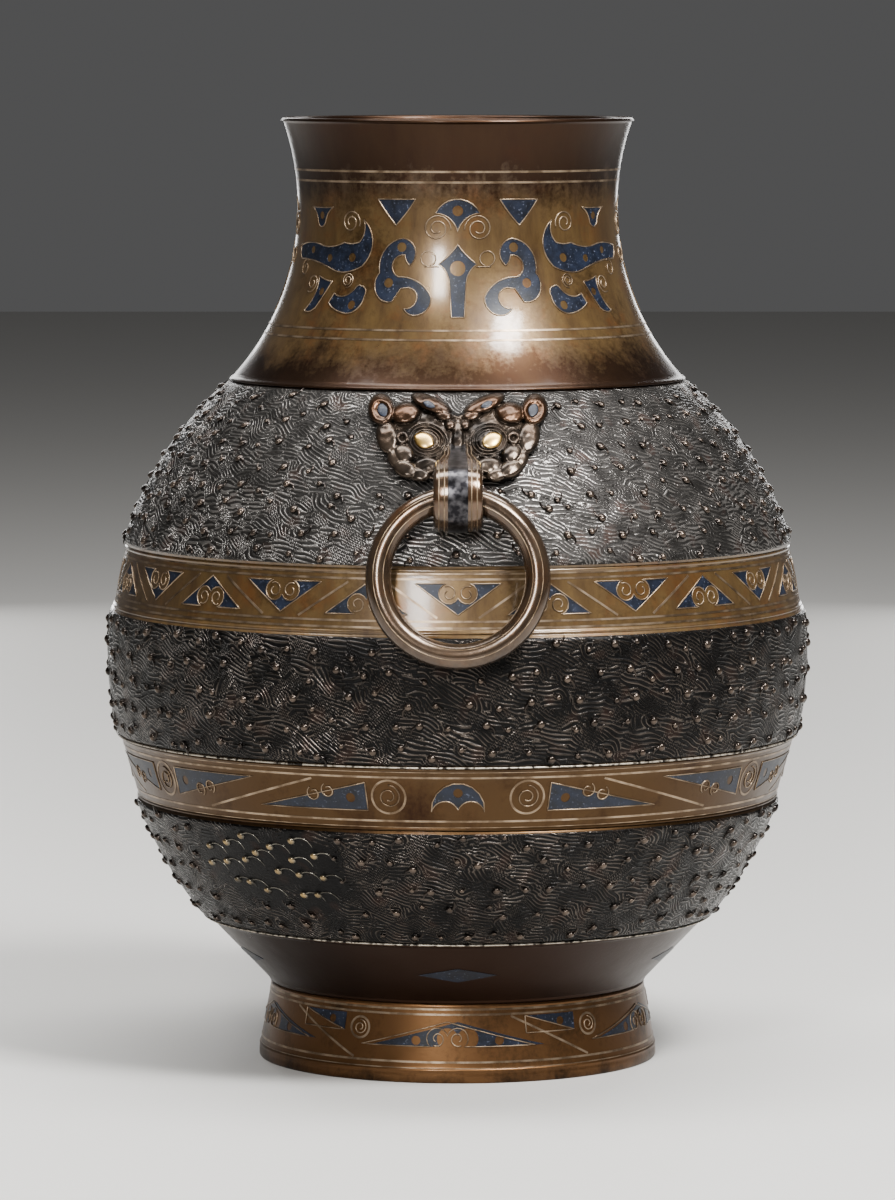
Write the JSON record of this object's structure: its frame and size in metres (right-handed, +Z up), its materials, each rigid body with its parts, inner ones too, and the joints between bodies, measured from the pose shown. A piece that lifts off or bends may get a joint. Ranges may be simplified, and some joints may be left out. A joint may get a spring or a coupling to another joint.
{
  "type": "hu wine vessel",
  "caption": "Round-bellied bronze wine jar on a ring foot, with inlaid bands, carved belts, animal masks front and rear and loose rings hanging from them.",
  "frame": {"origin": "centre of the foot's underside, on the vessel's axis", "axes": "+Z up along the vessel's axis, -Y to the front mask, +X to the right as seen from the front"},
  "size_m": [0.2405, 0.2576, 0.32],
  "materials": {
    "patinated_bronze": "patinated, satin",
    "dark_bronze": "dark patina, rubbed edges",
    "ring_bronze": "handled, half polished",
    "blue_inlay": "ground flush, satin",
    "wire": "burnished",
    "silver": "tarnished",
    "gold": "burnished"
  },
  "bodies": {
    "vessel": {"vessel_body": "patinated_bronze", "foot_ring": "patinated_bronze", "base_plate": "patinated_bronze", "base_lozenges": "blue_inlay", "belly_crescents": "blue_inlay", "belly_hanging_blades": "blue_inlay", "belly_hoops": "wire", "belly_roundels": "wire", "belly_slant_wires": "wire", "belly_standing_blades": "blue_inlay", "foot_eyelets": "wire", "foot_hoops": "wire", "foot_peaks": "blue_inlay", "foot_slant_wires": "wire", "foot_thorns": "blue_inlay", "mask_drops_front": "blue_inlay", "mask_drops_rear": "blue_inlay", "mask_eyes_front": "gold", "mask_eyes_rear": "gold", "mask_front": "dark_bronze", "mask_rear": "dark_bronze", "neck_arrows": "blue_inlay", "neck_birds": "blue_inlay", "neck_buds": "blue_inlay", "neck_corners": "blue_inlay", "neck_fans": "blue_inlay", "neck_hoops": "wire", "neck_leaves": "blue_inlay", "neck_moons": "blue_inlay", "neck_scrolls": "blue_inlay", "ring_strap_front": "ring_bronze", "ring_strap_rear": "ring_bronze", "shoulder_hanging_triangles": "blue_inlay", "shoulder_hoops": "wire", "shoulder_slant_wires": "wire", "shoulder_standing_triangles": "blue_inlay", "strap_stripe_front": "silver", "strap_stripe_rear": "silver", "strap_wires_front": "wire", "strap_wires_rear": "wire"},
    "ring_front": {"ring_front": "ring_bronze", "ring_wires_front": "wire"},
    "ring_rear": {"ring_rear": "ring_bronze", "ring_wires_rear": "wire"}
  },
  "joints": [
    {"name": "front_ring_swing", "type": "hinge", "parent": "vessel", "child": "ring_front", "pos_m": [0, -0.113, 0.1984], "axis": [-1, 0, 0], "range_deg": [0, 185]},
    {"name": "rear_ring_swing", "type": "hinge", "parent": "vessel", "child": "ring_rear", "pos_m": [0, 0.113, 0.1984], "axis": [1, 0, 0], "range_deg": [0, 185]}
  ]
}
